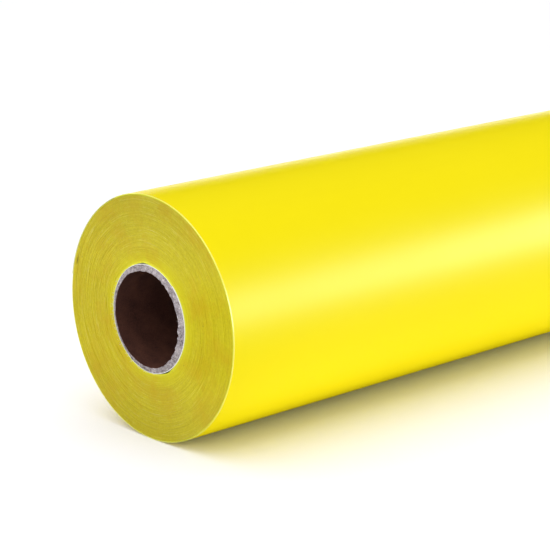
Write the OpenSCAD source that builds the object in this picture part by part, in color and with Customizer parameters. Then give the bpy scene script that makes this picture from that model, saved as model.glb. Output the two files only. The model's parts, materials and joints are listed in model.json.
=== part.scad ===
// A roll of self-adhesive sign vinyl, lying on its side.
// A long web of yellow film on its release liner is wound on a spiral-wound paperboard core.
// Its axis lies along X, it rests on the plane z = 0, and the loose end of the web is at the back (+Y).

/* [Web] */
// Width of the web, which is the length of the roll
web_width = 610; // [300:10:1250]
// Length of web on the roll, in metres
web_length = 50; // [10:1:60]
// Thickness of the vinyl film with its coat of adhesive
film_thickness = 0.10; // [0.06:0.01:0.20]
// Thickness of the paper release liner
liner_thickness = 0.11; // [0.06:0.01:0.20]
// Share of the wound pack that is web and not trapped air
pack_density = 0.985; // [0.940:0.005:1.000]

/* [Core] */
// Bore of the core: the nominal 2 inch core
core_bore_d = 50.8; // [38:0.1:78]
// Thickness of the brown ply that lines the bore
bore_ply = 0.3; // [0.2:0.05:0.6]
// Thickness of one grey board ply
board_ply = 0.58; // [0.3:0.02:1.0]
// Number of grey board plies
board_plies = 5; // [3:1:9]
// Thickness of the smooth white ply outside the board
cover_ply = 0.3; // [0.2:0.05:0.6]
// How far the core stands out of the web at each end
core_overhang = 1.8; // [0.5:0.1:10]

/* [Start of the web] */
// Width of the double-sided tape under the first turn, measured round the core
start_tape_width = 25; // [12:1:40]
// Thickness of that tape
start_tape_thickness = 0.10; // [0.05:0.01:0.20]
// Distance from the tape's ends to the edges of the web
start_tape_inset = 5; // [0:1:40]
// Where the tape is, in degrees up from the back of the roll
start_tape_angle = 60; // [0:5:355]

/* [Outer turn and its tail] */
// Air under the slack outer turn
slack_air = 0.25; // [0.10:0.05:0.60]
// Where the tail's cut edge is, in degrees up from the back of the roll
tail_edge_angle = 10; // [10:1:40]
// Length of the tail that lifts off the roll, measured round it
tail_length = 57; // [45:1:70]
// Length of film at the cut edge that peels off the liner, measured round the roll
film_end_length = 23; // [15:1:30]
// Gap in the layers at a line that they bend about
bend_gap = 0.2; // [0.1:0.05:0.4]
// Air under the end of the film, where it has let go of the liner
film_lift = 0.05; // [0.02:0.01:0.10]

/* [Closure tabs] */
// Width of a tab along the roll
tab_width = 25; // [15:1:50]
// Length of the part of a tab that is stuck to the tail
tab_hold = 15; // [8:1:18]
// Length of the part of a tab that is stuck to the turn below
tab_reach = 15; // [8:1:18]
// Thickness of a tab
tab_thickness = 0.08; // [0.05:0.01:0.15]
// Distance between the two tabs' centres
tab_spacing = 400; // [150:10:900]

/* [Hidden] */
$fn = 256;
MM_PER_M = 1000;

core_bore_r = core_bore_d / 2;
board_start_r = core_bore_r + bore_ply;
board_end_r = board_start_r + board_plies * board_ply;
core_r = board_end_r + cover_ply;
core_length = web_width + 2 * core_overhang;

// One layer of web, and one turn of the slack outer wrap with the air under it.
web_thickness = film_thickness + liner_thickness;
outer_pitch = web_thickness + slack_air;

// The web's own section, spread over the ring that it fills, gives the radius of the tight pack.
web_section = web_length * MM_PER_M * web_thickness;
pack_r = sqrt(pow(core_r, 2) + web_section / (PI * pack_density));
outer_r = pack_r + outer_pitch;

// The film's outer face is at outer_r on the outer turn, and the liner is under it.
film_inner_r = outer_r - film_thickness;
liner_inner_r = film_inner_r - liner_thickness;

// A turn is two half circles. The second half's centre is half a pitch nearer the cut edge,
// so that the turn comes round one pitch lower than it started, as a spiral does.
pack_shift = web_thickness / 2;
outer_shift = outer_pitch / 2;

// Lengths round the outer face as angles, counted from the cut edge.
function turn_angle(arc_length) = arc_length / outer_r * 180 / PI;

// Points along an arc round the axis, in equal steps.
function arc_points(radius, start_angle, stop_angle, steps) = [
    for (step = [0 : steps])
        let (angle = start_angle + (stop_angle - start_angle) * step / steps)
            radius * [cos(angle), sin(angle)]
];
tail_end = turn_angle(tail_length);
film_end_stop = turn_angle(film_end_length);
bend_angle = turn_angle(bend_gap);

// How far round a layer goes in one of the short flats of its section.
flat_angle = 1;

// The tape lies on the core, half of its width on each side of its own angle.
tape_half_angle = start_tape_width / 2 / core_r * 180 / PI;
tape_length = web_width - 2 * start_tape_inset;

// The lowest point is on the second half of the outer turn.
axis_height = outer_r - outer_shift * (1 - sin(tail_edge_angle));

// A tab goes over the film's end, down past the cut edge and on to the turn below.
tab_inner_r = outer_r + film_lift;
tab_outer_r = tab_inner_r + tab_thickness;
tab_step_clearance = 0.1;
tab_lower_r = outer_r - outer_shift + film_lift;
tab_foot_r = outer_r - outer_pitch + film_lift;

FILM_YELLOW = [0.98, 0.92, 0.10];
PACK_YELLOW = [0.80, 0.74, 0.20];
LINER_WHITE = [0.93, 0.93, 0.90];
BOARD_GREY = [0.68, 0.64, 0.65];
COVER_WHITE = [0.86, 0.85, 0.84];
BORE_BROWN = [0.27, 0.16, 0.12];
TAPE_CLEAR = [0.90, 0.88, 0.78];
TAB_WHITE = [0.95, 0.94, 0.90];

board_names = [for (ply = [1 : board_plies]) str("core_board_ply_", ply)];

// Turns a shape drawn round Z so that its axis lies along X at the roll's height.
// Angles then run from the back of the roll (+Y) up over its top.
module on_roll_axis() {
    translate([0, 0, axis_height]) rotate([90, 0, 90]) children();
}

// The same, with angles counted from the tail's cut edge.
module from_cut_edge() {
    on_roll_axis() rotate([0, 0, tail_edge_angle]) children();
}

module tube(inner_r, wall, length) {
    difference() {
        cylinder(r = inner_r + wall, h = length, center = true);
        cylinder(r = inner_r, h = length + 2, center = true);
    }
}

// A curved plate: part of a tube, between two angles.
module curved_plate(inner_r, wall, start_angle, stop_angle, length) {
    rotate_extrude(start = start_angle, angle = stop_angle - start_angle)
        translate([inner_r, -length / 2]) square([wall, length]);
}

// A thin layer that bends in use: a curved plate whose section is a run of short flats.
// It stays inside its own ring, so it never cuts into the layer above or below.
module flexible_plate(inner_r, wall, start_angle, stop_angle, length) {
    steps = ceil((stop_angle - start_angle) / flat_angle);
    half_step = (stop_angle - start_angle) / steps / 2;
    outer_points = arc_points(inner_r + wall, start_angle, stop_angle, steps);
    inner_points = arc_points(inner_r / cos(half_step), stop_angle, start_angle, steps);
    linear_extrude(length, center = true) polygon(concat(outer_points, inner_points));
}

// A layer of the outer turn, from the tail's root on over the front and round to the cut edge.
module outer_layer(inner_r, wall) {
    curved_plate(inner_r, wall, tail_end + bend_angle, 180, web_width);
    translate([-outer_shift, 0, 0]) curved_plate(inner_r - outer_shift, wall, 180, 360, web_width);
}

// The part of a tab that lies on the turn below the cut edge.
module tab_below_edge() {
    reach_angle = turn_angle(tab_reach);
    edge_angle = turn_angle(tab_step_clearance + tab_thickness / 2);
    translate([-outer_shift, 0, 0])
        curved_plate(tab_lower_r, tab_thickness, -reach_angle, -edge_angle, tab_width);
}

// The step of a tab down the cut edge.
module tab_step() {
    step = [tab_outer_r - tab_foot_r, tab_thickness, tab_width];
    translate([tab_foot_r, -tab_step_clearance - tab_thickness, -tab_width / 2]) cube(step);
}

module closure_tab(along) {
    step_angle = turn_angle(tab_step_clearance + tab_thickness / 2);
    color(TAB_WHITE) translate([along, 0, 0]) from_cut_edge() {
        curved_plate(tab_inner_r, tab_thickness, -step_angle, turn_angle(tab_hold), tab_width);
        tab_step();
        tab_below_edge();
    }
}

module core_bore_ply() {
    color(BORE_BROWN) on_roll_axis() tube(core_bore_r, bore_ply, core_length);
}

module core_board_ply(ply) {
    color(BOARD_GREY) on_roll_axis() tube(board_start_r + (ply - 1) * board_ply, board_ply, core_length);
}

module core_cover_ply() {
    color(COVER_WHITE) on_roll_axis() tube(board_end_r, cover_ply, core_length);
}

module start_tape() {
    color(TAPE_CLEAR) on_roll_axis() rotate([0, 0, start_tape_angle])
        flexible_plate(core_r, start_tape_thickness, -tape_half_angle, tape_half_angle, tape_length);
}

// The room that the first turns leave for the tape under them.
module tape_room() {
    on_roll_axis() rotate([0, 0, start_tape_angle])
        curved_plate(core_r, start_tape_thickness, -tape_half_angle, tape_half_angle, tape_length);
}

// All the turns under the outer one, as one solid with a step where the next turn would begin.
module wound_web() {
    color(PACK_YELLOW) difference() {
        from_cut_edge() difference() {
            union() {
                curved_plate(core_bore_r, pack_r - core_bore_r, 0, 180, web_width);
                translate([-pack_shift, 0, 0])
                    curved_plate(core_bore_r, pack_r - pack_shift - core_bore_r, 180, 360, web_width);
            }
            cylinder(r = core_r, h = web_width + 2, center = true);
        }
        tape_room();
    }
}

module outer_turn_liner() {
    color(LINER_WHITE) from_cut_edge() outer_layer(liner_inner_r, liner_thickness);
}

module outer_turn_film() {
    color(FILM_YELLOW) from_cut_edge() outer_layer(film_inner_r, film_thickness);
}

module tail_liner() {
    color(LINER_WHITE) from_cut_edge()
        flexible_plate(liner_inner_r, liner_thickness, 0, tail_end, web_width);
}

module tail_film() {
    color(FILM_YELLOW) from_cut_edge()
        flexible_plate(film_inner_r, film_thickness, film_end_stop + bend_angle, tail_end, web_width);
}

module film_end() {
    color(FILM_YELLOW) from_cut_edge()
        flexible_plate(film_inner_r + film_lift, film_thickness, 0, film_end_stop, web_width);
}

module closure_tab_near() {
    closure_tab(-tab_spacing / 2);
}

module closure_tab_far() {
    closure_tab(tab_spacing / 2);
}

core_bore_ply();
for (ply = [1 : board_plies])
    core_board_ply(ply);
core_cover_ply();
start_tape();
wound_web();
outer_turn_liner();
outer_turn_film();
tail_liner();
tail_film();
film_end();
closure_tab_near();
closure_tab_far();
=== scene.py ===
# %% [markdown]
# # A roll of yellow sign vinyl
#
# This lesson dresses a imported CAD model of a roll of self-adhesive vinyl.
# The CAD already has every piece at its true size, and the bodies that move.
# Blender adds what makes it look real: a smooth glossy film, the edges of
# all the wound turns, a torn paperboard core and little crepe paper tabs.
#
# Its nodes stay where they are for the whole lesson, and every piece made
# here takes its place from them.

# %% Load the frame
import json
import math
from functools import partial

import bpy
import numpy as np
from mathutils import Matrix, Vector


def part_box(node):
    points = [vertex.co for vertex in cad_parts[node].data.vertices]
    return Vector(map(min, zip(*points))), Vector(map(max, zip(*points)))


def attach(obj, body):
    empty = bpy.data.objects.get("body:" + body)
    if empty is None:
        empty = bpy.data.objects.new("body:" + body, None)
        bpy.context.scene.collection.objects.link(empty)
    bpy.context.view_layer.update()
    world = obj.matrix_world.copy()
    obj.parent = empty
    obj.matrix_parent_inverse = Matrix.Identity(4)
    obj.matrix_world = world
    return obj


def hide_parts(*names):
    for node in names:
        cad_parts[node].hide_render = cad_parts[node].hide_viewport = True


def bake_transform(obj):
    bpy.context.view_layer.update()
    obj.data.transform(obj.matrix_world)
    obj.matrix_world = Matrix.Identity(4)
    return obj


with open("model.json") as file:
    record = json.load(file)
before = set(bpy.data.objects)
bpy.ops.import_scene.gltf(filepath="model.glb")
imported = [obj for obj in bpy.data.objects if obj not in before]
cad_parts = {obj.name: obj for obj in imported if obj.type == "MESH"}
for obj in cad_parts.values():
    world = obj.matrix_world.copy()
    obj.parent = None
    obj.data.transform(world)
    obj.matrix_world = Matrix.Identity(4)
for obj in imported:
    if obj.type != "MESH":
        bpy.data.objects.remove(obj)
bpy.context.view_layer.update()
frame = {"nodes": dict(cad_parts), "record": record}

MM = 0.001
print("CAD nodes:", sorted(frame["nodes"]))

# %% [markdown]
# ## Measure the CAD
#
# The roll is round, so its pieces are easiest to place by an angle and a
# radius about the roll's axis. Angles run from the back (+Y) up over the
# top. The numbers are read from the CAD's own vertices, so the looks
# follow the CAD when a size changes.

# %% Angles and radii of the CAD nodes
AXIS_Z = next(m["pos_m"][2] for m in frame["record"]["mounts"] if m["name"] == "core_bore")


def round_the_axis(node):
    """Lowest and highest angle, and least and greatest radius, of a CAD node."""
    across = np.array([(v.co.y, v.co.z - AXIS_Z) for v in frame["nodes"][node].data.vertices])
    angles = np.degrees(np.arctan2(across[:, 1], across[:, 0])) % 360
    radii = np.hypot(across[:, 0], across[:, 1])
    return angles.min(), angles.max(), radii.min(), radii.max()


EDGE_ANGLE, PEEL_ANGLE, film_end_r, _ = round_the_axis("film_end")
_, ROOT_ANGLE, liner_inner_r, liner_outer_r = round_the_axis("tail_liner")
_, _, film_inner_r, OUTER_R = round_the_axis("tail_film")
_, _, BORE_R, _ = round_the_axis("core_bore_ply")
_, _, BOARD_R, _ = round_the_axis("core_board_ply_1")
_, _, COVER_R, CORE_R = round_the_axis("core_cover_ply")
_, _, _, PACK_R = round_the_axis("wound_web")
FILM = OUTER_R - film_inner_r
LINER = liner_outer_r - liner_inner_r
LIFT = film_end_r - film_inner_r
SLACK_TURN = OUTER_R - PACK_R
WEB_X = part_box("wound_web")[1].x
CORE_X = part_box("core_cover_ply")[1].x
print("web is", round(2 * WEB_X / MM), "mm wide and", round(2 * OUTER_R / MM, 1), "mm across")
print("cut edge at", round(EDGE_ANGLE, 1), "and tail's root at", round(ROOT_ANGLE, 1), "degrees")

# %% [markdown]
# ## Nodes by name
#
# Materials and Geometry Nodes are both trees of small operations. `add`
# makes a node and sets its values, and `sums_of` gives the four usual sums
# of a tree, so that a formula reads like one. Most finishes are built as a
# painter works, one thin layer over another: `remap` turns any value into
# a mask, and `overlay` lays the next colour over the last.

# %% Helpers for node trees
def add(tree, kind, values=None, **settings):
    """A new node with its settings and its unlinked inputs filled in."""
    node = tree.nodes.new(kind)
    for name, value in settings.items():
        setattr(node, name, value)
    for name, value in (values or {}).items():
        if isinstance(value, bpy.types.NodeSocket):
            tree.links.new(value, node.inputs[name])
        else:
            node.inputs[name].default_value = value
    return node


def calc(tree, operation, *terms):
    """The result of one sum, with sockets or numbers as its terms."""
    return add(tree, "ShaderNodeMath", dict(enumerate(terms)), operation=operation).outputs[0]


def sums_of(tree):
    """Plus, minus, times and over, for one tree."""
    return [partial(calc, tree, operation) for operation in ("ADD", "SUBTRACT", "MULTIPLY", "DIVIDE")]


def vector_of(tree, x, y, z):
    """Three numbers or sockets as one vector."""
    return add(tree, "ShaderNodeCombineXYZ", {0: x, 1: y, 2: z}).outputs[0]


def noise(tree, place, scale, detail=2.0, roughness=0.5, fourth=None):
    """Random clouds in space. A fourth coordinate sets copies apart, or is the only one."""
    values = {"Scale": scale, "Detail": detail, "Roughness": roughness}
    if place is not None:
        values["Vector"] = place
    if fourth is not None:
        values["W"] = fourth
    dimensions = "3D" if fourth is None else "1D" if place is None else "4D"
    return add(tree, "ShaderNodeTexNoise", values, noise_dimensions=dimensions).outputs[0]


def group_of(kind, name, inputs, outputs):
    """A node group with named inputs and outputs: each is (name, type, value)."""
    tree = bpy.data.node_groups.new(name, kind)
    for label, socket_type, value in inputs:
        socket = tree.interface.new_socket(label, in_out="INPUT", socket_type=socket_type)
        if value is not None:
            socket.default_value = value
    for label, socket_type in outputs:
        tree.interface.new_socket(label, in_out="OUTPUT", socket_type=socket_type)
    return tree, tree.nodes.new("NodeGroupInput").outputs, tree.nodes.new("NodeGroupOutput").inputs


def remap(tree, value, low, high, to_low=0.0, to_high=1.0):
    """The value from low to high, made to run from to_low to to_high and no further."""
    return add(tree, "ShaderNodeMapRange", {0: value, 1: low, 2: high, 3: to_low, 4: to_high}).outputs[0]


def overlay(tree, amount, under, over, blend_type="MIX"):
    """One colour laid over another by an amount. Each colour is a socket or three numbers."""
    values = {0: amount}
    for slot, colour in ((6, under), (7, over)):
        values[slot] = (*colour, 1) if isinstance(colour, tuple) else colour
    return add(tree, "ShaderNodeMix", values, data_type="RGBA", blend_type=blend_type).outputs[2]


FLOAT, COLOUR, MESH = "NodeSocketFloat", "NodeSocketColor", "NodeSocketGeometry"
INT, MATERIAL, VECTOR = "NodeSocketInt", "NodeSocketMaterial", "NodeSocketVector"
print("the helpers for trees are ready")

# %% [markdown]
# ## Two effects that several materials share
#
# Nothing on a used roll is one even colour. A *mottle* drifts between two
# colours in soft patches with a finer grain on top. *Paper fibre* is made
# of noise stretched along the ply, as pulp lies when the paper is made.
# Each is a node group, so all the materials can use it at their own scale.

# %% Node groups for mottle and paper fibre
def make_mottle():
    tree, given, result = group_of(
        "ShaderNodeTree", "Mottle",
        [("Light", COLOUR, (1, 1, 1, 1)), ("Dark", COLOUR, (0, 0, 0, 1)),
         ("Patch Scale", FLOAT, 40.0), ("Grain Scale", FLOAT, 900.0), ("Grain", FLOAT, 0.3)],
        [("Color", COLOUR), ("Mask", FLOAT)],
    )
    place = add(tree, "ShaderNodeTexCoord").outputs["Object"]
    patch = noise(tree, place, given["Patch Scale"], 4.0)
    grain = noise(tree, place, given["Grain Scale"], 2.0)
    both = add(tree, "ShaderNodeMix", {0: given["Grain"], 2: patch, 3: grain}).outputs[0]
    mask = remap(tree, both, 0.35, 0.65)
    tree.links.new(overlay(tree, mask, given["Dark"], given["Light"]), result["Color"])
    tree.links.new(mask, result["Mask"])
    return tree


def make_fibre():
    tree, given, result = group_of(
        "ShaderNodeTree", "Paper fibre",
        [("Scale", FLOAT, 500.0), ("Stretch", VECTOR, (0.2, 1.0, 1.0))],
        [("Height", FLOAT), ("Strands", FLOAT)],
    )
    place = add(tree, "ShaderNodeTexCoord").outputs["Object"]
    drawn = add(tree, "ShaderNodeVectorMath", {0: place, 1: given["Stretch"]}, operation="MULTIPLY")
    values = {"Vector": drawn.outputs[0], "Scale": given["Scale"], "Detail": 5.0}
    values |= {"Roughness": 0.65, "Distortion": 0.8}
    pulp = add(tree, "ShaderNodeTexNoise", values).outputs[0]
    tree.links.new(pulp, result["Height"])
    tree.links.new(remap(tree, pulp, 0.52, 0.66), result["Strands"])
    return tree


MOTTLE, FIBRE = make_mottle(), make_fibre()
print("node groups:", MOTTLE.name, "and", FIBRE.name)

# %% [markdown]
# ## The finish of the film
#
# Calendered vinyl is a saturated colour under a slightly soft gloss. A
# medium roughness spreads the reflection of a softbox into a wide band,
# and a low specular level keeps the colour deep. The calender rolls leave
# a faint texture, which is a very small bump.

# %% Material helpers and the film's materials
def new_material(name, roughness, specular=0.5):
    """A material, its tree and its Principled shader, with even values set."""
    material = bpy.data.materials.new(name)
    material.use_nodes = True
    tree = material.node_tree
    shader = tree.nodes["Principled BSDF"]
    shader.inputs["Roughness"].default_value = roughness
    shader.inputs["Specular IOR Level"].default_value = specular
    return material, tree, shader


def use_mottle(tree, light, dark, patch, grain_scale, grain):
    values = {"Light": (*light, 1), "Dark": (*dark, 1)}
    values |= {"Patch Scale": patch, "Grain Scale": grain_scale, "Grain": grain}
    return add(tree, "ShaderNodeGroup", values, node_tree=MOTTLE).outputs


def use_fibre(tree, scale, stretch):
    return add(tree, "ShaderNodeGroup", {"Scale": scale, "Stretch": stretch}, node_tree=FIBRE).outputs


def bump(tree, shader, height, strength, distance):
    node = add(tree, "ShaderNodeBump", {"Height": height, "Strength": strength, "Distance": distance})
    tree.links.new(node.outputs[0], shader.inputs["Normal"])


def vinyl_film():
    material, tree, shader = new_material("vinyl_film", 0.42, 0.05)
    colour = use_mottle(tree, (0.805, 0.671, 0.0009), (0.797, 0.664, 0.0007), 9.0, 260.0, 0.25)
    tree.links.new(colour["Color"], shader.inputs["Base Color"])
    tree.links.new(remap(tree, colour["Mask"], 0.0, 1.0, 0.40, 0.46), shader.inputs["Roughness"])
    shader.inputs["Coat Weight"].default_value = 0.10
    shader.inputs["Coat Roughness"].default_value = 0.32
    shader.inputs["Coat IOR"].default_value = 1.22
    place = add(tree, "ShaderNodeTexCoord").outputs["Object"]
    bump(tree, shader, noise(tree, place, 1400.0, 1.0), 0.12, 0.04 * MM)
    return material


def slit_burr():
    """The knife whitens the film in a narrow line along its slit edges."""
    material, tree, shader = new_material("slit_burr", 0.35, 0.4)
    colour = use_mottle(tree, (0.88, 0.80, 0.26), (0.84, 0.73, 0.10), 60.0, 1500.0, 0.4)
    tree.links.new(colour["Color"], shader.inputs["Base Color"])
    return material


FILM_FACE, FILM_BURR = vinyl_film(), slit_burr()
print("made", FILM_FACE.name, "and", FILM_BURR.name)

# %% [markdown]
# ## The finishes of the layers' edges
#
# The roll's ends are the slit edges of film and liner, one beside the
# other. The film's edge is a deep yellow, and the white liner's edge takes
# yellow light from the film on both sides. The turns are not all cut to
# the same depth, so their tone drifts from turn to turn and along each.
#
# Over that ground come thin layers: painted highlights as pale glints, a
# deeper tone beside the core, brown stains, a few dark specks, painted shade
# towards the front, a darkening towards top and bottom, painted highlights
# on the rims and painted shade in the nicks. The mesh carries two
# attributes for this: *turn* counts the turns from the core, and *rim* is
# 1 on the rims and below 0 in a nick.

# %% Colours and masks of the slit edges
# Painted highlight colour for the pale glints.
PAINTED_GLINT_YELLOW = (0.86, 0.80, 0.24)
CORE_SIDE_YELLOW = (0.64, 0.58, 0.012)
STAIN_BROWN = (0.575, 0.395, 0.018)
SPECK_BROWN = (0.10, 0.09, 0.03)
# Painted shade colour towards the front.
PAINTED_FRONT_SHADE = (0.90, 0.90, 0.16)
# Painted shade colour for the nicks.
NICK_PAINTED_SHADE = (0.16, 0.13, 0.02)
TURNS_BY_CORE = 40.0


def turn_tone(tree, place, turn):
    """Rings that neighbouring turns share, arcs along each turn, and dust."""
    plus, _, times, _ = sums_of(tree)
    rings = noise(tree, None, 0.42, 4.0, 0.7, fourth=turn)
    arcs = noise(tree, place, 42.0, 4.0, 0.65, fourth=times(turn, 0.011))
    dust = noise(tree, place, 900.0, 2.0)
    tone = plus(plus(times(rings, 0.30), times(arcs, 0.45)), times(dust, 0.25))
    return remap(tree, tone, 0.38, 0.62)


def speck_mask(tree, place):
    """Small round specks, in a few of the cells that a Voronoi pattern makes."""
    cells = add(tree, "ShaderNodeTexVoronoi", {"Vector": place, "Scale": 95.0}).outputs
    dot = remap(tree, cells["Distance"], 0.035, 0.06, 0.75, 0.0)
    drawn_lot = add(tree, "ShaderNodeSeparateColor", {0: cells["Color"]}).outputs[0]
    return calc(tree, "MULTIPLY", dot, calc(tree, "GREATER_THAN", drawn_lot, 0.86))


def shade_by_place(tree, place, colour):
    """Painted shade, a deeper tone towards the front at mid height, and a little darkening towards top and
    bottom.
    """
    _, minus, times, _ = sums_of(tree)
    along = add(tree, "ShaderNodeSeparateXYZ", {0: place}).outputs
    height = calc(tree, "ABSOLUTE", minus(along[2], AXIS_Z))
    front = remap(tree, along[1], 0.1 * OUTER_R, -0.65 * OUTER_R)
    level = remap(tree, height, 0.25 * OUTER_R, 0.75 * OUTER_R, 0.9, 0.1)
    # Painted shade: a deeper tone towards the front at mid height.
    colour = overlay(tree, times(front, level), colour, PAINTED_FRONT_SHADE, "MULTIPLY")
    # A little darker towards top and bottom.
    darker_top_and_bottom = remap(tree, height, 0.4 * OUTER_R, 0.9 * OUTER_R, 1.0, 0.85)
    return add(tree, "ShaderNodeVectorMath", {0: colour, "Scale": darker_top_and_bottom}, operation="SCALE").outputs[0]


print("the tone is deeper over the first", TURNS_BY_CORE, "turns")

# %% [markdown]
# ## The two edge materials
#
# Film and liner get the same layers over their own ground colours, so one
# function makes both.

# %% Materials for slit edges
def slit_edge(name, light, dark, painted_rim_highlight, roughness):
    material, tree, shader = new_material(name, roughness, 0.15)
    turn = add(tree, "ShaderNodeAttribute", attribute_name="turn").outputs["Fac"]
    rim = add(tree, "ShaderNodeAttribute", attribute_name="rim").outputs["Fac"]
    place = add(tree, "ShaderNodeTexCoord").outputs["Object"]
    painted_glints = noise(tree, place, 48.0, 3.0, 0.6, fourth=calc(tree, "MULTIPLY", turn, 0.37))
    stains = noise(tree, place, 55.0, 5.0, 0.7)

    colour = overlay(tree, turn_tone(tree, place, turn), dark, light)
    # Painted highlight: pale glints along turns that stand proud.
    colour = overlay(tree, remap(tree, painted_glints, 0.56, 0.74, 0.0, 0.50), colour, PAINTED_GLINT_YELLOW)
    colour = overlay(tree, remap(tree, turn, 0.0, TURNS_BY_CORE, 0.85, 0.0), colour, CORE_SIDE_YELLOW)
    colour = overlay(tree, remap(tree, stains, 0.46, 0.68, 0.0, 0.65), colour, STAIN_BROWN)
    colour = overlay(tree, speck_mask(tree, place), colour, SPECK_BROWN)
    colour = shade_by_place(tree, place, colour)
    # Painted highlight: a bright line on the outermost turns and on the first turns by the core.
    colour = overlay(tree, rim, colour, painted_rim_highlight)
    # Painted shade: darker inside the nicks.
    colour = overlay(tree, remap(tree, rim, 0.0, -0.8, 0.0, 0.8), colour, NICK_PAINTED_SHADE)
    tree.links.new(colour, shader.inputs["Base Color"])
    return material


FILM_EDGE = slit_edge(
    "film_edge", light=(0.645, 0.545, 0.009), dark=(0.485, 0.385, 0.006),
    painted_rim_highlight=(0.86, 0.90, 0.040), roughness=0.55,
)
LINER_EDGE = slit_edge(
    "liner_edge", light=(0.68, 0.62, 0.060), dark=(0.49, 0.425, 0.035),
    painted_rim_highlight=(0.88, 0.92, 0.110), roughness=0.85,
)
print("made", FILM_EDGE.name, "and", LINER_EDGE.name)

# %% [markdown]
# ## The finishes of the papers and the adhesive
#
# The liner is a white coated paper. The core is wound from grey recycled
# board, with a brown kraft ply in the bore and a smooth white ply outside.
# All of them use the fibre group, at the scale and direction of their own
# pulp. Under the film is a clear, shiny layer of adhesive.

# %% Paper materials
def paper(
    name, light, dark, fibre_scale, stretch, depth, roughness=0.9, specular=0.2, strands=0.3, patches=120.0,
):
    """A mottled paper with pale strands in it, and a bump of that depth from its pulp."""
    material, tree, shader = new_material(name, roughness, specular)
    colour = use_mottle(tree, light, dark, patches, 1500.0, 0.45)
    fibre = use_fibre(tree, fibre_scale, stretch)
    amount = calc(tree, "MULTIPLY", fibre["Strands"], strands)
    pale = tuple(min(1.0, c * 1.35) for c in light)
    tree.links.new(overlay(tree, amount, colour["Color"], pale), shader.inputs["Base Color"])
    bump(tree, shader, fibre["Height"], 0.5, depth)
    return material


LINER_PAPER = paper(
    "liner_paper", (0.86, 0.86, 0.82), (0.80, 0.80, 0.75), 900.0, (1, 0.4, 1), 0.02 * MM,
    roughness=0.5, specular=0.4, strands=0.1,
)
BOARD = paper(
    "core_board", (0.52, 0.47, 0.475), (0.125, 0.100, 0.105), 1500.0, (1, 0.5, 0.5), 0.15 * MM,
    roughness=0.95, specular=0.1, strands=0.75, patches=380.0,
)
WHITE_FIBRE = paper("white_fibre", (0.80, 0.78, 0.78), (0.62, 0.60, 0.60), 900.0, (1, 1, 1), 0.02 * MM)
COVER = paper(
    "cover_paper", (0.88, 0.89, 0.83), (0.80, 0.81, 0.75), 900.0, (0.6, 1, 1), 0.04 * MM, roughness=0.8,
)
KRAFT = paper(
    "kraft_paper", (0.105, 0.040, 0.025), (0.052, 0.019, 0.014), 700.0, (0.3, 1, 1), 0.05 * MM,
    roughness=0.8, strands=0.12,
)
TAB_PAPER = paper(
    "tab_paper", (0.84, 0.80, 0.68), (0.76, 0.71, 0.58), 700.0, (1, 0.3, 0.3), 0.04 * MM,
    roughness=0.8, strands=0.25,
)
TAPE = paper(
    "tape", (0.78, 0.74, 0.58), (0.70, 0.66, 0.50), 500.0, (1, 1, 1), 0.02 * MM,
    roughness=0.3, specular=0.5, strands=0.1,
)


def adhesive():
    material, tree, shader = new_material("adhesive", 0.22, 0.5)
    colour = use_mottle(tree, (0.88, 0.74, 0.10), (0.84, 0.68, 0.07), 30.0, 800.0, 0.5)
    tree.links.new(colour["Color"], shader.inputs["Base Color"])
    bump(tree, shader, colour["Mask"], 0.2, 0.03 * MM)
    return material


ADHESIVE = adhesive()
print("papers:", [m.name for m in (LINER_PAPER, BOARD, WHITE_FIBRE, COVER, KRAFT, TAB_PAPER, TAPE)])

# %% [markdown]
# ## Building thin layers
#
# Film and liner are only a tenth of a millimetre thick, so they are drawn
# as closed sheets that follow the turn. A turn is two half circles, and the
# second is centred a little nearer the cut edge: that is how the sheet
# comes round lower than it started and slips under its own tail.
#
# Almost every piece is then a loft: sections joined by quads.

# %% Functions for meshes made of sections
def on_turn(past_edge, depth):
    """Y and Z of points at angles past the cut edge, and at a depth under the film's face."""
    shift = SLACK_TURN / 2
    second_half = (past_edge > 180) & (past_edge <= 360)
    radius = OUTER_R - depth - np.where(past_edge > 360, 2 * shift, np.where(second_half, shift, 0))
    turned = np.radians(EDGE_ANGLE + past_edge)
    moved = np.where(second_half, shift, 0)
    edge = math.radians(EDGE_ANGLE)
    y = radius * np.cos(turned) - moved * math.cos(edge)
    z = AXIS_Z + radius * np.sin(turned) - moved * math.sin(edge)
    return y, z


def ease(share):
    """A share from 0 to 1 that starts and stops gently."""
    return share * share * (3 - 2 * share)


def mesh_object(name, points, faces, materials, face_material=None):
    """A smooth-shaded mesh object with its corners kept sharp."""
    mesh = bpy.data.meshes.new(name)
    mesh.from_pydata(np.asarray(points).tolist(), [], np.asarray(faces).tolist())
    for material in materials:
        mesh.materials.append(material)
    if face_material is not None:
        mesh.polygons.foreach_set("material_index", np.asarray(face_material, np.int32))
    mesh.polygons.foreach_set("use_smooth", np.ones(len(mesh.polygons), bool))
    mesh.set_sharp_from_angle(angle=math.radians(35))
    obj = bpy.data.objects.new(name, mesh)
    bpy.context.scene.collection.objects.link(obj)
    return obj


def loft(sections, closed_round=False):
    """Quads between closed sections that all have the same number of points."""
    count, size = sections.shape[:2]
    row = np.arange(count if closed_round else count - 1)
    i, j = np.meshgrid(row, np.arange(size), indexing="ij")
    i2, j2 = (i + 1) % count, (j + 1) % size
    quads = np.stack([i * size + j, i2 * size + j, i2 * size + j2, i * size + j2], axis=-1)
    return quads.reshape(-1, 4), j.reshape(-1)


def sheet_caps(width, last):
    """Quads that close the first and the last section of a sheet that is width points wide."""
    j = np.arange(width - 1)
    first = np.stack([j, j + 1, 2 * width - 2 - j, 2 * width - 1 - j], axis=-1)
    return [first, first[:, ::-1] + last * 2 * width]


print("a turn comes round", round(SLACK_TURN / MM, 2), "mm lower")

# %% [markdown]
# ## One layer as a sheet
#
# The slitting knife presses the film's edge down, so a sheet's face has a
# small round shoulder at both ends, and the burr on it is a fine line.

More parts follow.
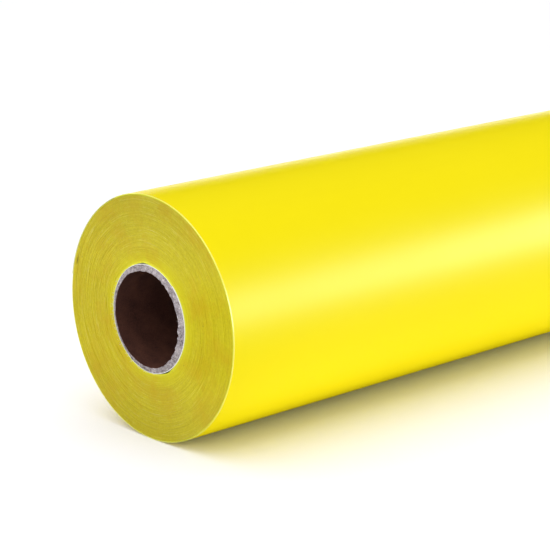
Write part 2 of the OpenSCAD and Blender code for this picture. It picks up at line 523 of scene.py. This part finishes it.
# %% A layer that follows the turn
SHOULDER = [(0.0, 0.045), (0.03, 0.020), (0.10, 0.004), (0.45, 0.0)]
INNER_STATIONS = 25
shoulder_x = [-WEB_X + along * MM for along, _ in SHOULDER]
shoulder_dip = [dip * MM for _, dip in SHOULDER]
inner_x = list(np.linspace(-WEB_X + 6 * MM, WEB_X - 6 * MM, INNER_STATIONS))
STATIONS = np.array(shoulder_x + inner_x + [-x for x in reversed(shoulder_x)])
DIPS = np.array(shoulder_dip + [0.0] * INNER_STATIONS + shoulder_dip[::-1])
OUTERMOST_TURN = 170.0
LAYER_STEP = 0.7
FACE, UNDERSIDE, SLIT, BURR = range(4)


def layer(name, start, stop, top, under, materials, lift=None):
    """A closed sheet between two angles and two depths. Materials: face, underside, slit edge, burr."""
    angles = np.linspace(start, stop, int((stop - start) / LAYER_STEP) + 2)
    raised = np.zeros(len(angles)) if lift is None else lift(angles)
    n = len(STATIONS)
    x = np.concatenate([STATIONS, STATIONS[::-1]])
    depth = np.concatenate([top + DIPS, np.full(n, under)])
    y, z = on_turn(angles[:, None], depth[None, :] - raised[:, None])
    points = np.stack([np.broadcast_to(x, y.shape), y, z], axis=-1)
    faces, columns = loft(points)
    kind = np.where(columns < n - 1, FACE, UNDERSIDE)
    kind[(columns == n - 1) | (columns == 2 * n - 1)] = SLIT
    kind[(columns == 2) | (columns == n - 4)] = BURR
    caps = sheet_caps(n, len(angles) - 1)
    kind = np.concatenate([kind, np.full(2 * (n - 1), SLIT)])
    obj = mesh_object(name, points.reshape(-1, 3), np.concatenate([faces, *caps]), materials, kind)
    # A rim of 1 puts the painted rim highlight on the outer turn's slit edges.
    for label, value in (("turn", OUTERMOST_TURN), ("rim", 1.0)):
        attribute = obj.data.attributes.new(label, "FLOAT", "POINT")
        attribute.data.foreach_set("value", np.full(len(obj.data.vertices), value, np.float32))
    return obj


print("a film sheet has", len(STATIONS), "stations across the web")

# %% [markdown]
# ## The outer turn, the tail and the film's end
#
# The CAD cuts the layers where they bend: at the tail's root, and where the
# film peels off the liner. The tail and the film's end are short sheets of
# their own, and the rest of the turn is a sheet that rides on the roll. The
# turn goes on under the tail, as the web does on a real roll.
#
# On the real roll the film's end folds right back over the roll. Here it
# lies on the turn, a hair above the liner where it has let go.

# %% Make the layers of the outer turn
ROOT = ROOT_ANGLE - EDGE_ANGLE
PEEL = PEEL_ANGLE - EDGE_ANGLE
BEND = 5.0
PEEL_STOP = PEEL + 14
TAIL_STOP = ROOT + 30
PACK_START = ROOT + 5
TURN_STOP = 360 + PACK_START
FILM_LAYERS = [FILM_FACE, ADHESIVE, FILM_EDGE, FILM_BURR]
LINER_LAYERS = [LINER_PAPER, LINER_PAPER, LINER_EDGE, LINER_PAPER]


def end_lift(angles):
    """The film's end has let go of the liner, so it lies a hair above it."""
    return LIFT * ease(np.clip((PEEL + BEND - angles) / (2 * BEND), 0, 1))


film_turn = layer("film_outer_turn", TAIL_STOP, TURN_STOP, 0, FILM, FILM_LAYERS)
liner_turn = layer("liner_outer_turn", TAIL_STOP, TURN_STOP, FILM, FILM + LINER, LINER_LAYERS)
film_tail = layer("film_tail", PEEL_STOP, TAIL_STOP, 0, FILM, FILM_LAYERS)
liner_tail = layer("liner_tail", 0, TAIL_STOP, FILM, FILM + LINER, LINER_LAYERS)
film_end = layer("film_loose_end", 0, PEEL_STOP, 0, FILM, FILM_LAYERS, end_lift)


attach(film_turn, "roll")
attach(liner_turn, "roll")
for piece in (film_tail, liner_tail):
    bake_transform(piece)
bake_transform(film_end)
for piece, node, slot in (
    (film_turn, "outer_turn_film", "vinyl_film"), (liner_turn, "outer_turn_liner", "liner_paper"),
    (film_tail, "tail_film", "vinyl_film"), (liner_tail, "tail_liner", "liner_paper"),
    (film_end, "film_end", "vinyl_film"),
):
    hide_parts(node)
    print(piece.name, "stands for", node)

# %% [markdown]
# ## The wound pack
#
# Under the outer turn are about 170 tight turns. Their inside is never
# seen, so they are one closed solid whose ends stop half a millimetre
# short, under the edges of the turns. The first turns lift off the core
# in two places, which leaves two thin gaps along the whole roll.

# %% Make the pack under the outer turn
PACK_DENSITY = 0.985
PITCH = (FILM + LINER) / PACK_DENSITY
TURNS = (PACK_R - PITCH - CORE_R) / PITCH
END_RECESS = 0.5 * MM
PACK_STEPS = 720
# Each gap: its angle, how far the web stands off the core, and how narrow it is.
GAPS = [(84.0, 0.72 * MM, 95.0), (240.0, 0.66 * MM, 80.0)]
GAP_FADE = 2.6 * MM


def gap_rise(angle):
    """How far the first turn stands off the core at an angle."""
    return sum(rise * np.maximum(np.cos(np.radians(angle - at)), 0) ** power for at, rise, power in GAPS)


def wound_pack():
    share = np.linspace(0, 1, PACK_STEPS + 1)
    angles = EDGE_ANGLE + PACK_START + 360 * share
    outer = PACK_R - PITCH * share
    inner = CORE_R + gap_rise(angles)
    profile_r = np.stack([outer, outer, outer, inner, inner, inner], axis=1)
    end_x = WEB_X - END_RECESS
    profile_x = np.array([-end_x, 0, end_x, end_x, 0, -end_x])
    x = np.broadcast_to(profile_x, profile_r.shape)
    turned = np.radians(angles)[:, None]
    points = np.stack([x, profile_r * np.cos(turned), AXIS_Z + profile_r * np.sin(turned)], axis=-1)
    faces, columns = loft(points)
    start_cap = [[0, 1, 4, 5], [1, 2, 3, 4]]
    last = PACK_STEPS * len(profile_x)
    stop_cap = [[last + corner for corner in reversed(quad)] for quad in start_cap]
    kind = np.concatenate([np.where(columns < 2, 0, 1), [1] * 4])
    faces = np.concatenate([faces, start_cap, stop_cap])
    return mesh_object("wound_pack", points.reshape(-1, 3), faces, [FILM_FACE, FILM_EDGE], kind)


pack = wound_pack()
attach(pack, "roll")
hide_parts("wound_web")
print("the pack has", round(TURNS, 1), "turns under the outer one")

# %% [markdown]
# ## The edges of the turns, with Geometry Nodes
#
# Each turn shows its film edge and its liner edge, and the pair follows a
# long spiral. A grid is the simplest start: its long side is the length of
# the web and its short side is five points across one turn. The first and
# last point go down into the pack as a wall. Giving each point its own
# radius, angle and height rolls the grid up. The radius adds up the turns
# so far, the gaps beside the core and some air under the outer turn.

# %% Where the points of the turns lie
GRID_ROWS = 5
SLACK_AT, SLACK_TURNS = 140, 3.0


def facing(tree, angle, at, power):
    """One in the direction at, and less to both sides: the higher the power, the narrower."""
    cosine = calc(tree, "COSINE", calc(tree, "SUBTRACT", angle, math.radians(at)))
    return calc(tree, "POWER", calc(tree, "MAXIMUM", cosine, 0.0), power)


def spiral_radius(tree, given, turn, row, angle):
    plus, minus, times, over = sums_of(tree)
    film = times(calc(tree, "GREATER_THAN", row, 1.5), given["Film Share"])
    liner = times(calc(tree, "GREATER_THAN", row, 2.5), minus(PACK_DENSITY, given["Film Share"]))
    wound = times(plus(turn, plus(film, liner)), given["Pitch"])
    fade = calc(tree, "EXPONENT", over(wound, -GAP_FADE))
    radius = plus(given["Inner Radius"], wound)
    for at, rise, power in GAPS:
        radius = plus(radius, times(times(facing(tree, angle, at, power), rise), fade))
    slack = plus(calc(tree, "COSINE", minus(angle, math.radians(SLACK_AT))), 1.0)
    near_outside = calc(tree, "EXPONENT", over(minus(given["Turns"], turn), -SLACK_TURNS))
    return plus(radius, times(times(slack, given["Slack Fill"]), near_outside))


print("the grid has", GRID_ROWS, "points across a turn")

# %% [markdown]
# ## How far each turn stands out
#
# The web wandered a little while it was wound. Two noises shift the edge:
# one shared by neighbouring turns, which gives soft rings and arcs, and one
# of each turn's own. The outermost turns stand out a hair, and the first
# turns rise further beside the core. Three small nicks are knocks from
# handling. The rim value, less the nicks, is kept for the material.

# %% How far the points stand out
# Each nick: its angle, its turn, how many turns it reaches to each side, and how narrow it is.
NICKS = [(0.0, 31.0, 1.3, 160.0), (317.0, 26.0, 1.2, 160.0), (19.0, 163.0, 3.0, 2500.0)]
NICK_DEPTH = 0.45 * MM
OUTER_RIM_TURNS, INNER_RIM_TURNS = 1.0, 2.6
INNER_RIM_SHARE = 0.85
NOISE_MIDDLE = 0.6


def rims_and_nicks(tree, given, turn, angle):
    """How near a point is to a rim, how much it rises by the core, and how deep in a nick it is."""
    plus, minus, times, over = sums_of(tree)
    outer_rim = calc(tree, "EXPONENT", over(minus(given["Turns"], turn), -OUTER_RIM_TURNS))
    risen = calc(tree, "EXPONENT", over(turn, -INNER_RIM_TURNS))
    rim = calc(tree, "MAXIMUM", outer_rim, times(risen, INNER_RIM_SHARE))
    nicked = 0.0
    for at, nicked_turn, reach, power in NICKS:
        hit = calc(tree, "LESS_THAN", calc(tree, "ABSOLUTE", minus(turn, nicked_turn)), reach)
        nicked = plus(nicked, times(facing(tree, angle, at, power), hit))
    return rim, risen, nicked


def spiral_height(tree, given, turn, row, cosine, sine, rim, risen, nicked):
    """How far out of the web's end each point stands."""
    plus, minus, times, _ = sums_of(tree)
    shared = vector_of(tree, cosine, sine, times(turn, 0.40))
    drift = noise(tree, shared, 1.1, 3.0, fourth=given["Seed"])
    own = vector_of(tree, cosine, sine, times(turn, 7.3))
    wander = noise(tree, own, 2.2, 2.0, fourth=given["Seed"])
    out = times(minus(drift, NOISE_MIDDLE), given["Drift"])
    out = plus(out, times(minus(wander, NOISE_MIDDLE), given["Wander"]))
    out = plus(out, times(rim, given["Rim Rise"]))
    out = plus(out, times(risen, given["Core Rise"]))
    out = minus(out, times(nicked, NICK_DEPTH))
    out = minus(out, times(calc(tree, "GREATER_THAN", row, 2.5), given["Set Back"]))
    wall = calc(tree, "GREATER_THAN", calc(tree, "ABSOLUTE", minus(row, 2.0)), 1.5)
    return minus(times(out, minus(1.0, wall)), times(wall, given["Depth"]))


print("nicks in turns", [int(nicked_turn) for _, nicked_turn, _, _ in NICKS])

# %% [markdown]
# ## The tree itself
#
# The tree counts the grid's points to find each one's turn and angle, and
# the functions above do the rest. Its inputs are the sizes of the spiral.
# It stores the materials' two attributes, turns the near end's faces
# outwards, and gives the faces of film and liner their own materials.

# %% The tree that rolls up the edges
SPIRAL = {
    "Inner Radius": CORE_R, "Pitch": PITCH, "Turns": TURNS, "Steps": 120.0,
    "Outer End": math.radians(EDGE_ANGLE + PACK_START), "Film Share": FILM / PITCH,
    "Set Back": 0.03 * MM, "Depth": 0.7 * MM, "Drift": 0.45 * MM, "Wander": 0.22 * MM,
    "Slack Fill": 0.16 * MM, "Rim Rise": 0.12 * MM, "Core Rise": 0.7 * MM, "Axis Height": AXIS_Z,
}


def make_turn_edges():
    tree, given, result = group_of(
        "GeometryNodeTree", "Turn edges",
        [(label, FLOAT, size) for label, size in SPIRAL.items()]
        + [("Face X", FLOAT, WEB_X), ("Outward", FLOAT, 1.0), ("Seed", FLOAT, 1.0)]
        + [("Film", MATERIAL, None), ("Liner", MATERIAL, None)],
        [("Mesh", MESH)],
    )
    plus, minus, times, over = sums_of(tree)
    steps = calc(tree, "ROUND", times(given["Turns"], given["Steps"]))
    grid = add(tree, "GeometryNodeMeshGrid", {"Vertices Y": GRID_ROWS, "Vertices X": plus(steps, 1.0)})
    index = add(tree, "GeometryNodeInputIndex").outputs[0]
    row = calc(tree, "FLOORED_MODULO", index, float(GRID_ROWS))
    step = calc(tree, "FLOOR", over(plus(index, 0.5), float(GRID_ROWS)))
    turn = over(step, given["Steps"])
    angle = plus(times(minus(given["Turns"], turn), math.tau), given["Outer End"])
    cosine, sine = calc(tree, "COSINE", angle), calc(tree, "SINE", angle)

    radius = spiral_radius(tree, given, turn, row, angle)
    rim, risen, nicked = rims_and_nicks(tree, given, turn, angle)
    out = spiral_height(tree, given, turn, row, cosine, sine, rim, risen, nicked)
    x = plus(given["Face X"], times(out, given["Outward"]))
    z = plus(times(radius, sine), given["Axis Height"])
    position = vector_of(tree, x, times(radius, cosine), z)

    shape = grid.outputs[0]
    for label, value in (("turn", turn), ("rim", minus(rim, nicked))):
        stored = {"Geometry": shape, "Name": label, "Value": value}
        shape = add(tree, "GeometryNodeStoreNamedAttribute", stored, data_type="FLOAT").outputs[0]
    shape = add(tree, "GeometryNodeSetPosition", {"Geometry": shape, "Position": position}).outputs[0]
    inward = add(tree, "FunctionNodeCompare", {0: given["Outward"], 1: 0.0}, operation="LESS_THAN").outputs[0]
    shape = add(tree, "GeometryNodeFlipFaces", {"Mesh": shape, "Selection": inward}).outputs[0]
    shape = add(tree, "GeometryNodeRealizeInstances", {"Geometry": shape}).outputs[0]
    shape = add(tree, "GeometryNodeSetMaterial", {"Geometry": shape, "Material": given["Film"]}).outputs[0]
    column = calc(tree, "FLOORED_MODULO", index, GRID_ROWS - 1.0)
    on_liner = add(tree, "FunctionNodeCompare", {0: column, 1: 1.5}, operation="GREATER_THAN").outputs[0]
    lined = {"Geometry": shape, "Selection": on_liner, "Material": given["Liner"]}
    tree.links.new(add(tree, "GeometryNodeSetMaterial", lined).outputs[0], result["Mesh"])
    return tree


TURN_EDGES = make_turn_edges()
print("inputs:", [s.name for s in TURN_EDGES.interface.items_tree if s.in_out == "INPUT"])

# %% [markdown]
# ## Run the tree for both ends
#
# The tree runs as a modifier on an empty mesh object, with its inputs set
# by each socket's identifier. The result is copied into a plain mesh, so
# the finished piece no longer needs the modifier and can ride on the roll.

# %% Make both ends of the pack
def run_nodes(name, tree, inputs):
    """Evaluates a Geometry Nodes tree and returns its result as a plain mesh object."""
    host = bpy.data.objects.new(name, bpy.data.meshes.new(name + "_host"))
    bpy.context.scene.collection.objects.link(host)
    modifier = host.modifiers.new("nodes", "NODES")
    modifier.node_group = tree
    for socket in tree.interface.items_tree:
        if socket.in_out == "INPUT" and socket.name in inputs:
            modifier[socket.identifier] = inputs[socket.name]
    bpy.context.view_layer.update()
    evaluated = host.evaluated_get(bpy.context.evaluated_depsgraph_get())
    mesh = bpy.data.meshes.new_from_object(evaluated)
    host.modifiers.clear()
    host.data = mesh
    return host


for name, side, seed in (("turn_edges_near", -1.0, 3.7), ("turn_edges_far", 1.0, 8.2)):
    this_end = {"Face X": side * WEB_X, "Outward": side, "Seed": seed, "Film": FILM_EDGE, "Liner": LINER_EDGE}
    edges = run_nodes(name, TURN_EDGES, SPIRAL | this_end)
    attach(edges, "roll")
    print(name, "has", len(edges.data.polygons), "faces")

# %% [markdown]
# ## The core
#
# A core like this is wound from strips of paper, glued one over another,
# and cut to length with a saw. Each ply is a tube whose cut end is rough
# and not quite level with the next: the plies by the bore stand out and
# the outer ones sit back. The saw leaves a ragged burr on the inner edge
# of the board, longer on one side, which hides the brown lining's end.

# %% Functions for a ply with sawn ends
ROUND = 540
EVEN = np.ones(ROUND)
RIM_INNER, RIM_OUTER = 0.60 * MM, -1.20 * MM
SET_IN, SET_IN_DEEP = 1.6 * MM, 4 * MM
FRAY_KNOTS, FRAY_WAVES = 150, 37
TOOTH_KNOTS, TOOTH_WAVES = 104, 11
FAR_END_SEED = 50


def wander_round(knots, seed):
    """A smooth random line from 0 to 1 that goes once round the core and closes on itself."""
    values = np.random.default_rng(seed).random(knots)
    place = np.arange(ROUND) * knots / ROUND
    left = place.astype(int)
    share = ease(place - left)
    return values[left % knots] * (1 - share) + values[(left + 1) % knots] * share


def burr_teeth(seed):
    """How far the torn burr reaches over the bore, round the core, as a share."""
    tooth = wander_round(TOOTH_KNOTS, seed) ** 1.5 * (0.35 + 0.65 * wander_round(TOOTH_WAVES, seed + 1))
    return tooth * (0.55 - 0.45 * np.cos(np.arange(ROUND) / ROUND * math.tau))


def sawn_end(inner_r, outer_r, seed, rough, burr, proud):
    """Four rings across a ply's sawn end: how far each stands past the core's end, and its radius."""
    rings = []
    for k, share in enumerate(np.linspace(0, 1, 4)):
        radius = inner_r + (outer_r - inner_r) * share
        dished = proud + RIM_INNER + (RIM_OUTER - RIM_INNER) * (radius - BORE_R) / (CORE_R - BORE_R)
        fray = wander_round(FRAY_KNOTS, seed + k) * 0.6 + wander_round(FRAY_WAVES, seed + k + 9) * 0.4
        torn = burr * burr_teeth(seed + 20) if k == 0 and burr else 0
        rings.append((dished - rough * fray, radius * EVEN - torn))
    return rings


print("each sawn end has", ROUND, "points round it")

# %% [markdown]
# ## The plies
#
# A ply is one loft from sawn end to sawn end, closed into a tube.

# %% Make the plies of the core
def ply(name, node, inner_r, outer_r, material, seed, rough, burr=0.0, proud=0.0):
    """A ply of the core. Its sawn ends vary by rough, and burr closes on the bore at both ends."""
    points = []
    for side, end_seed in ((-1, seed), (1, seed + FAR_END_SEED)):
        ends = sawn_end(inner_r, outer_r, end_seed, rough, burr, proud)
        inside = [(-depth * EVEN, inner_r * EVEN) for depth in (SET_IN_DEEP, SET_IN)]
        outside = [(-depth * EVEN, outer_r * EVEN) for depth in (SET_IN, SET_IN_DEEP)]
        run = [(side * (CORE_X + past_end), radius) for past_end, radius in inside + ends + outside]
        points += run if side < 0 else run[::-1]
    turned = np.linspace(0, math.tau, ROUND, endpoint=False)
    rings = [np.stack([x, r * np.cos(turned), AXIS_Z + r * np.sin(turned)], axis=-1) for x, r in points]
    rings = np.stack(rings, axis=1)
    faces, _ = loft(rings, closed_round=True)
    obj = mesh_object(name, rings.reshape(-1, 3), faces, [material])
    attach(obj, "roll")
    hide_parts(node)
    return obj


lining = ply("bore_lining", "core_bore_ply", BORE_R, BOARD_R, KRAFT, 100, 0.5 * MM, proud=-0.25 * MM)
BOARD_PLIES = sum(node.startswith("core_board_ply") for node in frame["nodes"])
board_step = (COVER_R - BOARD_R) / BOARD_PLIES
for number in range(1, BOARD_PLIES + 1):
    start = BOARD_R + (number - 1) * board_step
    board = ply(
        f"board_ply_{number}", f"core_board_ply_{number}", start, start + board_step, BOARD,
        seed=200 + 31 * number, rough=0.5 * MM, burr=1.3 * MM if number == 1 else 0.0,
    )
cover = ply("cover_ply", "core_cover_ply", COVER_R, CORE_R, COVER, 500, 0.12 * MM, proud=0.05 * MM)
print("core plies from", round(BORE_R / MM, 2), "to", round(CORE_R / MM, 2), "mm radius")

# %% [markdown]
# ## The seam in the bore
#
# The strip that lines the bore goes round in a helix, and its two edges
# meet in a seam. The seam is a thin, slightly raised ribbon of the same
# brown paper, one turn every hundred millimetres or so.

# %% Make the helical seam
SEAM_LEAD, SEAM_WIDTH = 104 * MM, 1.1 * MM
SEAM_RINGS = 420
seam_reach = CORE_X - 1.5 * MM
seam_x = np.linspace(-seam_reach, seam_reach, SEAM_RINGS)
around = seam_x / SEAM_LEAD * math.tau + 0.9
section = [(-0.5, 0.02), (-0.42, -0.09), (0.42, -0.05), (0.5, 0.02)]
seam_lines = []
for across, height in section:
    radius = BORE_R + height * MM
    line = [seam_x + across * SEAM_WIDTH, radius * np.cos(around), AXIS_Z + radius * np.sin(around)]
    seam_lines.append(np.stack(line, axis=-1))
seam_points = np.stack(seam_lines, axis=1)
faces, _ = loft(seam_points)
caps = [[0, 1, 2, 3], [(SEAM_RINGS - 1) * len(section) + i for i in (3, 2, 1, 0)]]
seam = mesh_object("bore_seam", seam_points.reshape(-1, 3), np.concatenate([faces, caps]), [KRAFT])
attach(seam, "roll")
print("the seam goes round", round((around[-1] - around[0]) / math.tau, 1), "times")

# %% [markdown]
# ## Loose fibres on the sawn ends
#
# Sawn board is fuzzy. A second tree scatters short bent fibres on the ring
# of the board, each a thin three-sided strand. Count, length and thickness
# are inputs, and a fixed seed keeps every run the same.

# %% The tree that scatters fibres
FUZZ = {
    "Length": 1.6 * MM, "Thickness": 0.055 * MM, "Inner Radius": BOARD_R, "Outer Radius": CORE_R,
    "Axis Height": AXIS_Z,
}


def bent_strand(tree, thin):
    """One thin fibre, one unit long."""
    bow = {"Resolution": 4, "Start": (0, 0, 0), "Middle": (0.5, 0.22, 0), "End": (1.0, 0.05, 0.12)}
    curve = add(tree, "GeometryNodeCurveQuadraticBezier", bow).outputs[0]
    profile = add(tree, "GeometryNodeCurvePrimitiveCircle", {"Resolution": 3, "Radius": thin}).outputs[0]
    swept = {"Curve": curve, "Profile Curve": profile, "Fill Caps": True}
    return add(tree, "GeometryNodeCurveToMesh", swept).outputs[0]


def make_fibres():
    tree, given, result = group_of(
        "GeometryNodeTree", "Sawn fibres",
        [(label, FLOAT, size) for label, size in FUZZ.items()]
        + [("Face X", FLOAT, CORE_X), ("Count", INT, 520), ("Seed", INT, 1), ("Material", MATERIAL, None)],
        [("Mesh", MESH)],
    )
    plus, _, times, over = sums_of(tree)

    def chance(low, high, offset):
        values = {2: low, 3: high, "Seed": plus(given["Seed"], float(offset))}
        return add(tree, "FunctionNodeRandomValue", values, data_type="FLOAT").outputs[1]

    angle = chance(0.0, math.tau, 1)
    ring = {0: chance(0.0, 1.0, 2), 2: given["Inner Radius"], 3: given["Outer Radius"]}
    radius = add(tree, "ShaderNodeMix", ring).outputs[0]
    z = plus(times(radius, calc(tree, "SINE", angle)), given["Axis Height"])
    place = vector_of(tree, given["Face X"], times(radius, calc(tree, "COSINE", angle)), z)
    points = add(tree, "GeometryNodePoints", {"Count": given["Count"], "Position": place}).outputs[0]
    turned = vector_of(tree, chance(0.0, math.tau, 3), chance(-0.25, 0.25, 4), chance(1.2, 1.95, 5))
    size = times(given["Length"], chance(0.35, 1.0, 6))
    strand = bent_strand(tree, over(given["Thickness"], given["Length"]))
    scale = vector_of(tree, size, size, size)
    laid = {"Points": points, "Instance": strand, "Rotation": turned, "Scale": scale}
    shape = add(tree, "GeometryNodeInstanceOnPoints", laid).outputs[0]
    shape = add(tree, "GeometryNodeRealizeInstances", {"Geometry": shape}).outputs[0]
    shape = add(tree, "GeometryNodeSetMaterial", {"Geometry": shape, "Material": given["Material"]})
    tree.links.new(shape.outputs[0], result["Mesh"])
    return tree


FIBRES = make_fibres()
for name, side, seed in (("core_fibres_near", -1, 11), ("core_fibres_far", 1, 12)):
    this_end = {"Face X": side * (CORE_X - 0.25 * MM), "Count": 520, "Seed": seed, "Material": WHITE_FIBRE}
    fuzz = run_nodes(name, FIBRES, FUZZ | this_end)
    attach(fuzz, "roll")
    print(name, "has", len(fuzz.data.polygons), "faces")

# %% [markdown]
# ## The closure tabs
#
# Two short tabs of crepe paper tape hold the tail down. They are stuck on
# the film's end and reach down over the cut edge. Crepe paper is full of
# fine wrinkles across its length, and its ends were cut on a toothed
# blade, so the tab's two ends have small points.

# %% Make the tabs of crepe tape
TAB_THICK = 0.08 * MM
HOLD, REACH = 15 * MM, 15 * MM
TAB_POINTS_ALONG, TAB_POINTS_ACROSS = 181, 51
TEETH, TOOTH = 16, 0.7 * MM
STEP_TOP, STEP_LENGTH = 0.25 * MM, 0.55 * MM
WRINKLE = 0.018 * MM


def crepe(distance, across, seed):
    """Wrinkles from -1 to 1: four waves along the tab, each bent a little across it."""
    rng = np.random.default_rng(seed)
    waves = 0
    for _ in range(4):
        ripples, offset = rng.uniform(5, 11), rng.uniform(0, 6)
        bent = 1.3 * np.sin(across * rng.uniform(5, 20) + rng.uniform(0, 6))
        waves = waves + np.sin(distance / MM * ripples + offset + bent)
    return waves / 4


def tab(name, node, seed):
    """A wrinkled strip over the cut edge, from the film's end on to the turn below."""
    low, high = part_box(node)
    lengthwise, crosswise = np.linspace(0, 1, TAB_POINTS_ALONG), np.linspace(0, 1, TAB_POINTS_ACROSS)
    along, across = np.meshgrid(lengthwise, crosswise, indexing="ij")
    teeth = TOOTH * np.abs((across * TEETH) % 1 - 0.5) * 2
    distance = -REACH + teeth + along * (HOLD + REACH - 2 * teeth)
    angle = np.degrees(distance / OUTER_R)
    past_edge = np.where(angle < 0, angle + 360, angle)
    y_turn, z_turn = on_turn(past_edge, 0.0)
    stepped_down = SLACK_TURN * ease(np.clip((STEP_TOP - distance) / STEP_LENGTH, 0, 1))
    turn_below = np.where(angle < 0, SLACK_TURN, 0)
    middle = LIFT + 0.5 * TAB_THICK - stepped_down + turn_below + WRINKLE * crepe(distance, across, seed)
    outward = np.radians(EDGE_ANGLE + past_edge)
    x = low.x + across * (high.x - low.x)
    sheets = []
    for half in (0.5, -0.5):
        rise = middle + half * TAB_THICK
        y, z = y_turn + rise * np.cos(outward), z_turn + rise * np.sin(outward)
        sheets.append(np.stack([x, y, z], axis=-1))
    rings = np.concatenate([sheets[0], sheets[1][:, ::-1]], axis=1)
    faces, _ = loft(rings)
    faces = np.concatenate([faces, *sheet_caps(TAB_POINTS_ACROSS, TAB_POINTS_ALONG - 1)])
    obj = mesh_object(name, rings.reshape(-1, 3), faces, [TAB_PAPER])
    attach(obj, "film_end")
    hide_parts(node)
    return obj


for name, node, seed in (("tab_near", "closure_tab_near", 5), ("tab_far", "closure_tab_far", 6)):
    made = tab(name, node, seed)
    print(made.name, "has", len(made.data.polygons), "faces")

# %% [markdown]
# ## The tape under the first turn
#
# The web starts on a strip of clear tape that is stuck to the core. The
# CAD's own solid is already the right shape, so it only gets a finish.

# %% Finish the start tape
tape_node = frame["nodes"]["start_tape"]
tape_node.data.materials.clear()
tape_node.data.materials.append(TAPE)
print("start tape keeps its CAD shape")

# %% [markdown]
# ## Floor and surround
#
# The roll lies on a plain white sweep, in an even pale light from all
# round. The surround looks pure white to the camera. Neither it nor the
# floor is seen in the gloss, where white would veil the film's deep yellow.

# %% Floor and surround
SURROUND_STRENGTH, SEEN_BRIGHTER = 0.44, 0.66
FLOOR_HALF = 30
floor_paint, _, floor_shader = new_material("floor_sweep", 0.9, 0.0)
floor_shader.inputs["Base Color"].default_value = (0.93, 0.927, 0.955, 1)
corners = [(-FLOOR_HALF, -FLOOR_HALF, 0), (FLOOR_HALF, -FLOOR_HALF, 0),
           (FLOOR_HALF, FLOOR_HALF, 0), (-FLOOR_HALF, FLOOR_HALF, 0)]
floor = mesh_object("floor", corners, [(0, 1, 2, 3)], [floor_paint])
floor.visible_glossy = False

world = bpy.data.worlds.new("surround")
world.use_nodes = True
surround = world.node_tree.nodes["Background"]
surround.inputs[0].default_value = (0.985, 0.99, 1.08, 1)
seen = add(world.node_tree, "ShaderNodeLightPath").outputs["Is Camera Ray"]
brighter = calc(world.node_tree, "MULTIPLY", seen, SEEN_BRIGHTER)
world.node_tree.links.new(calc(world.node_tree, "ADD", brighter, SURROUND_STRENGTH), surround.inputs[1])
bpy.context.scene.world = world
world.cycles_visibility.glossy = False
print("floor", 2 * FLOOR_HALF, "m wide, surround at", SURROUND_STRENGTH)

# %% [markdown]
# ## Lamps
#
# Each lamp has one task. The glows give only soft light: one for the side,
# one for the end, and a strip on the floor for the underside, like light
# thrown back by a bright floor. The shines are seen only in the gloss: a
# wide one at the right makes the band along the film, tinted so that it
# looks pale lemon, and a low one behind draws the fine line along the top.
# A wide sun overhead gives the soft shadow.

# %% Lamps
def softbox(name, direction, distance, size, power, aim=(0, 0, 0.06)):
    """A rectangular lamp in a direction from the aim, turned to face it."""
    lamp = bpy.data.lights.new(name, "AREA")
    lamp.shape = "RECTANGLE"
    lamp.size, lamp.size_y = size
    lamp.energy = power
    obj = bpy.data.objects.new(name, lamp)
    toward = Vector(direction).normalized()
    obj.location = Vector(aim) + toward * distance
    obj.rotation_euler = toward.to_track_quat("Z", "Y").to_euler()
    bpy.context.scene.collection.objects.link(obj)
    obj.visible_camera = False
    return obj


side_glow = softbox("side_glow", (0.30, -1.0, 0.05), 2.2, (2.4, 0.5), 20)
side_shine = softbox("side_shine", (0.66, -0.735, 0.15), 2.2, (1.8, 0.9), 255)
side_shine.data.color = (0.58, 1.0, 0.69)
left_glow = softbox("left_glow", (-1.0, -0.20, 0.35), 2.2, (1.6, 1.0), 10.6)
floor_glow = softbox("floor_glow", (0, 0, -1), 0.05, (0.92, 0.09), 0.13, aim=(0.16, -0.095, 0.0515))
back_shine = softbox("back_shine", (0.66, 0.75, 0.04), 2.5, (4.0, 0.45), 27)
for lamp in (side_glow, left_glow, floor_glow):
    lamp.visible_glossy = False
for lamp in (side_shine, back_shine):
    lamp.visible_diffuse = False

overhead = bpy.data.lights.new("overhead", "SUN")
overhead.energy = 2.0
overhead.angle = math.radians(80)
overhead_lamp = bpy.data.objects.new("overhead", overhead)
overhead_lamp.rotation_euler = Vector((-0.22, 0.10, 0.97)).to_track_quat("Z", "Y").to_euler()
bpy.context.scene.collection.objects.link(overhead_lamp)
bpy.context.scene.view_settings.view_transform = "Standard"

# %% [markdown]
# ## The camera
#
# A long lens from a little above looks at the near end, so the roll fills
# the frame and runs out of it at the right. The camera's place is given in
# multiples of the roll's radius, so it frames a thicker roll the same way.

# %% Camera
LENS = 142.1
BEARING, TILT = math.radians(-42.64), math.radians(15.27)
DISTANCE = 17.073 * OUTER_R
AIM = Vector((-WEB_X + 0.788 * OUTER_R, -0.602 * OUTER_R, AXIS_Z + 0.333 * OUTER_R))
camera_data = bpy.data.cameras.new("camera")
camera_data.sensor_width = 36
camera_data.lens = LENS
camera_data.clip_end = 100
camera = bpy.data.objects.new("camera", camera_data)
bpy.context.scene.collection.objects.link(camera)
level = math.cos(TILT)
looking = Vector((-math.sin(BEARING) * level, math.cos(BEARING) * level, -math.sin(TILT)))
camera.location = AIM - looking * DISTANCE
camera.rotation_euler = (-looking).to_track_quat("Z", "Y").to_euler()
bpy.context.scene.camera = camera
print("camera at", [round(v, 3) for v in camera.location])
